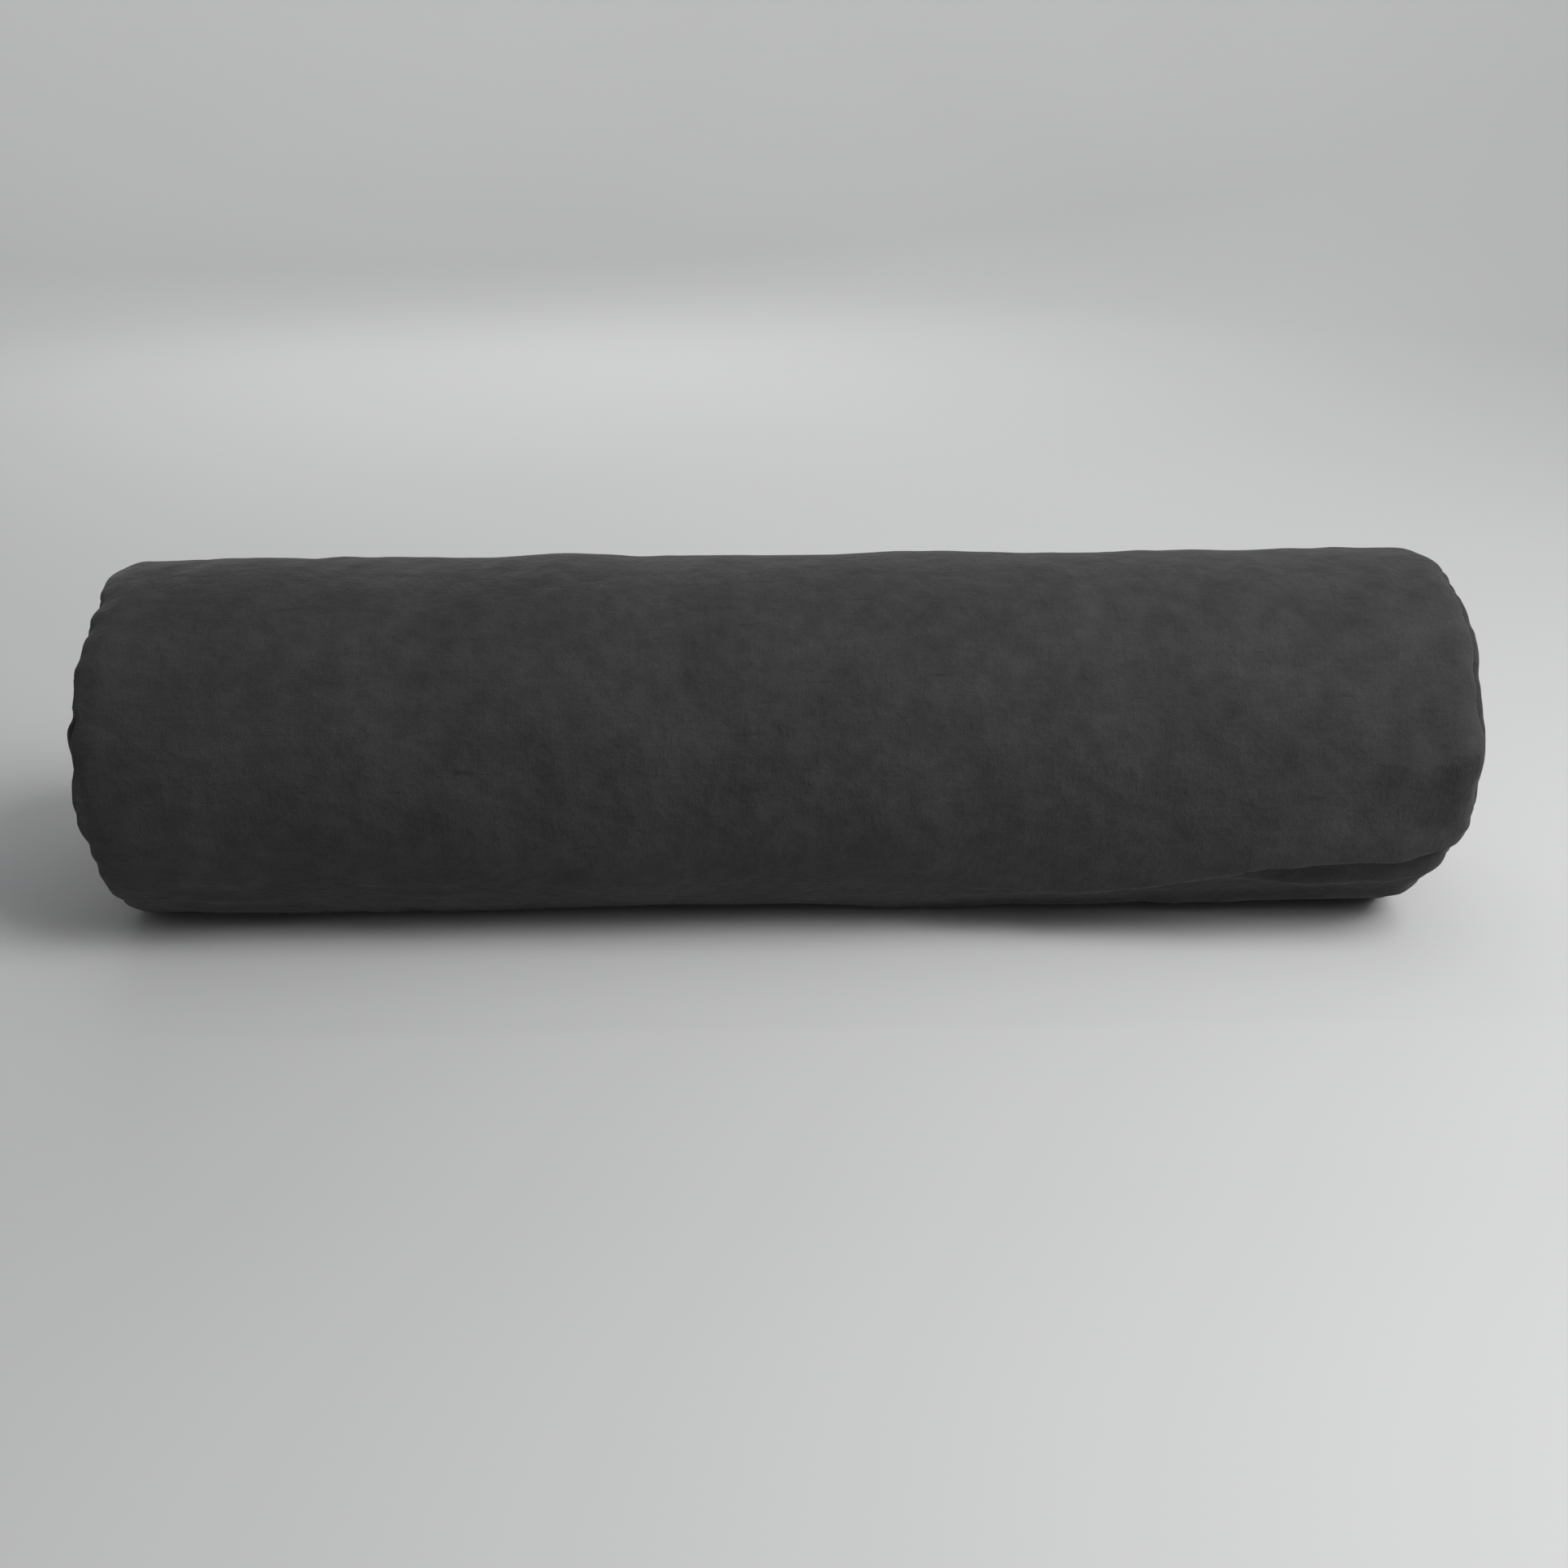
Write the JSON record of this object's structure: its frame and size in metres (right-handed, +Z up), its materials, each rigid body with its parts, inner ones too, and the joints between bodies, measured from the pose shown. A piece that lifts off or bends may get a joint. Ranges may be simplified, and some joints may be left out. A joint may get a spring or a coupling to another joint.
{
  "type": "bolster pillow",
  "caption": "Cylindrical massage bolster: foam core, padding and liner in a removable cloth cover with a rear zip.",
  "frame": {"origin": "on the resting surface, under the middle of the bolster", "axes": "+X along the bolster, towards the end where the zip closes; -Y is the plain front that the picture shows, +Y the back with the zip; +Z up"},
  "size_m": [0.66, 0.172, 0.169],
  "materials": {
    "cover_cloth": "matt brushed cotton",
    "liner_cloth": "matt black nonwoven",
    "padding": "fibrous",
    "foam": "open cell foam",
    "thread": "spun thread",
    "zip_tape": "woven herringbone tape",
    "zip_coil": "satin",
    "zip_metal": "satin black"
  },
  "bodies": {
    "bolster": {"foam_core": "foam", "padding_wrap": "padding", "padding_end_left": "padding", "padding_end_right": "padding", "liner_sleeve": "liner_cloth", "liner_end_left": "liner_cloth", "liner_end_right": "liner_cloth", "cover_sleeve": "cover_cloth", "cover_end_left": "cover_cloth", "cover_end_right": "cover_cloth", "rim_seam_left": "thread", "rim_seam_right": "thread", "zip_tape_upper": "zip_tape", "zip_tape_lower": "zip_tape", "zip_coil_upper": "zip_coil", "zip_coil_lower": "zip_coil", "zip_top_stop_upper": "zip_metal", "zip_top_stop_lower": "zip_metal", "zip_bottom_stop": "zip_metal", "zip_topstitch_upper": "thread", "zip_topstitch_lower": "thread", "zip_bar_tack_left": "thread", "zip_bar_tack_right": "thread"},
    "slider": {"zip_slider": "zip_metal"},
    "pull_tab": {"zip_pull_tab": "zip_metal"}
  },
  "joints": [
    {"name": "zip_slide", "type": "slide", "parent": "bolster", "child": "slider", "axis": [-1, 0, 0], "range_m": [0, 0.489]},
    {"name": "pull_tab_hinge", "type": "hinge", "parent": "slider", "child": "pull_tab", "pos_m": [0.2445, 0.07612, 0.12695], "axis": [0, 0.5, -0.866], "range_deg": [0, 180]}
  ]
}
